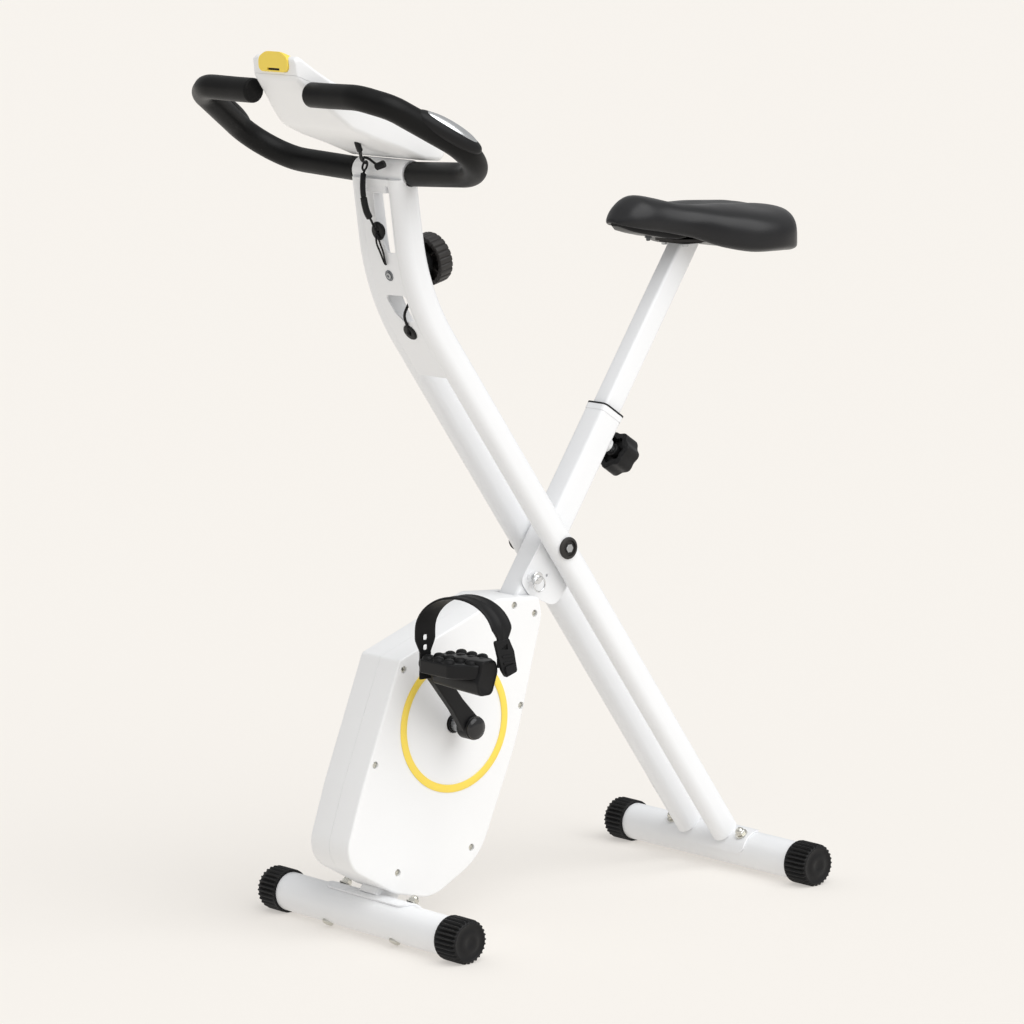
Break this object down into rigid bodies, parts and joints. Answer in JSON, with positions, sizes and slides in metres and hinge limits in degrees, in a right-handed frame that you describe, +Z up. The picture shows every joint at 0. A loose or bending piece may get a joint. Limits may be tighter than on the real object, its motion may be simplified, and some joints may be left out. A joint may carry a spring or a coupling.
{
  "type": "folding exercise bike",
  "caption": "Folding upright exercise bike with an X frame, enclosed flywheel, sliding saddle post and a handlebar loop with a small console.",
  "frame": {"origin": "floor level, at the centre of the whole bike's footprint box", "axes": "+Z up, -Y toward the front (the console and pedals), +X toward the rider's left"},
  "size_m": [0.512, 0.9268, 1.234],
  "materials": {
    "white_paint": "smooth white powder coat",
    "white_plastic": "fine satin moulded",
    "black_plastic": "satin moulded",
    "black_foam": "closed-cell foam",
    "black_vinyl": "fine-grained vinyl",
    "black_rubber": "smooth rubber",
    "yellow_plastic": "satin moulded",
    "steel": "bare machined steel",
    "zinc": "zinc plated",
    "chrome": "polished contact plate",
    "cast_iron": "turned and oiled",
    "magnet_grey": "bare steel with magnets",
    "lens_black": "smooth display window"
  },
  "bodies": {
    "front_frame": {"seat_leg": "white_paint", "leg_collar": "black_plastic", "front_stabiliser": "white_paint", "front_foot_left": "black_plastic", "front_foot_right": "black_plastic", "front_bolt_left": "zinc", "front_bolt_right": "zinc", "shroud_left": "white_plastic", "shroud_right": "white_plastic", "ring_left": "yellow_plastic", "ring_right": "yellow_plastic", "crank_bearing_left": "steel", "crank_bearing_right": "steel", "drive_belt": "black_rubber"},
    "seat": {"seat_post": "white_paint", "saddle_base": "black_plastic", "saddle": "black_vinyl"},
    "seat_pin": {"seat_pin": "steel"},
    "seat_knob": {"seat_knob": "black_plastic"},
    "crank": {"crank_axle": "steel", "crank_pulley": "black_plastic", "crank_arm_left": "black_plastic", "crank_arm_right": "black_plastic", "crank_cap_left": "black_plastic", "crank_cap_right": "black_plastic"},
    "pedal_left": {"pedal_left": "black_plastic", "pedal_strap_left": "black_rubber"},
    "pedal_right": {"pedal_right": "black_plastic", "pedal_strap_right": "black_rubber"},
    "flywheel": {"flywheel_axle": "steel", "flywheel": "cast_iron"},
    "brake": {"magnet_bracket": "magnet_grey"},
    "rear_frame": {"rear_tube_left": "white_paint", "rear_tube_right": "white_paint", "rear_saddle": "white_paint", "rear_stabiliser": "white_paint", "rear_foot_left": "black_plastic", "rear_foot_right": "black_plastic", "rear_bolt_left": "zinc", "rear_bolt_right": "zinc", "post_web": "white_paint", "pivot_bolt": "black_plastic", "pivot_nut": "black_plastic", "lock_plate": "white_paint", "handlebar": "steel", "grip_left": "black_foam", "grip_right": "black_foam", "pulse_sensor_left": "chrome", "pulse_sensor_right": "chrome", "console_back": "white_plastic", "console_front": "white_plastic", "console_insert": "yellow_plastic", "console_lens": "lens_black", "tension_housing": "black_plastic", "console_lead": "black_rubber", "lower_lead": "black_rubber"},
    "lock_pin": {"lock_pin": "steel"},
    "tension_knob": {"tension_knob": "black_plastic"},
    "console_button": {"console_button": "yellow_plastic"}
  },
  "joints": [
    {"name": "fold", "type": "hinge", "parent": "front_frame", "child": "rear_frame", "pos_m": [0, 0.01943, 0.518], "axis": [-1, 0, 0], "range_deg": [0, 38]},
    {"name": "seat_slide", "type": "slide", "parent": "front_frame", "child": "seat", "axis": [0, 0.5537, 0.8327], "range_m": [-0.1, 0.025]},
    {"name": "seat_pin_slide", "type": "slide", "parent": "front_frame", "child": "seat_pin", "axis": [0, 0.8327, -0.5537], "range_m": [-0.008, 0.006]},
    {"name": "seat_knob_turn", "type": "hinge", "parent": "seat_pin", "child": "seat_knob", "pos_m": [0, 0.15018, 0.64241], "axis": [0, 0.8327, -0.5537], "range_deg": [-180, 180]},
    {"name": "crank_spin", "type": "hinge", "parent": "front_frame", "child": "crank", "pos_m": [0, -0.18357, 0.2915], "axis": [1, 0, 0], "continuous": true},
    {"name": "pedal_left_spin", "type": "hinge", "parent": "crank", "child": "pedal_left", "pos_m": [0.15, -0.26106, 0.39212], "axis": [1, 0, 0], "continuous": true},
    {"name": "pedal_right_spin", "type": "hinge", "parent": "crank", "child": "pedal_right", "pos_m": [-0.15, -0.10609, 0.19088], "axis": [1, 0, 0], "continuous": true},
    {"name": "flywheel_spin", "type": "hinge", "parent": "front_frame", "child": "flywheel", "pos_m": [0, -0.29457, 0.158], "axis": [1, 0, 0], "continuous": true},
    {"name": "brake_swing", "type": "hinge", "parent": "front_frame", "child": "brake", "pos_m": [0.029, -0.25657, 0.238], "axis": [-1, 0, 0], "range_deg": [0, 8]},
    {"name": "lock_pin_slide", "type": "slide", "parent": "rear_frame", "child": "lock_pin", "axis": [1, 0, 0], "range_m": [-0.006, 0.003]},
    {"name": "tension_turn", "type": "hinge", "parent": "rear_frame", "child": "tension_knob", "pos_m": [0, -0.20058, 0.9366], "axis": [0, 0.9703, 0.2419], "range_deg": [0, 300]},
    {"name": "console_button_press", "type": "slide", "parent": "rear_frame", "child": "console_button", "axis": [0, 0.4337, 0.9011], "range_m": [-0.0015, 0], "stiffness_N_per_m": 400}
  ],
  "couplings": [
    {"joint": "flywheel_spin", "follows": "crank_spin", "ratio": 5.1429},
    {"joint": "brake_swing", "follows": "tension_turn", "ratio": 0.026667}
  ]
}
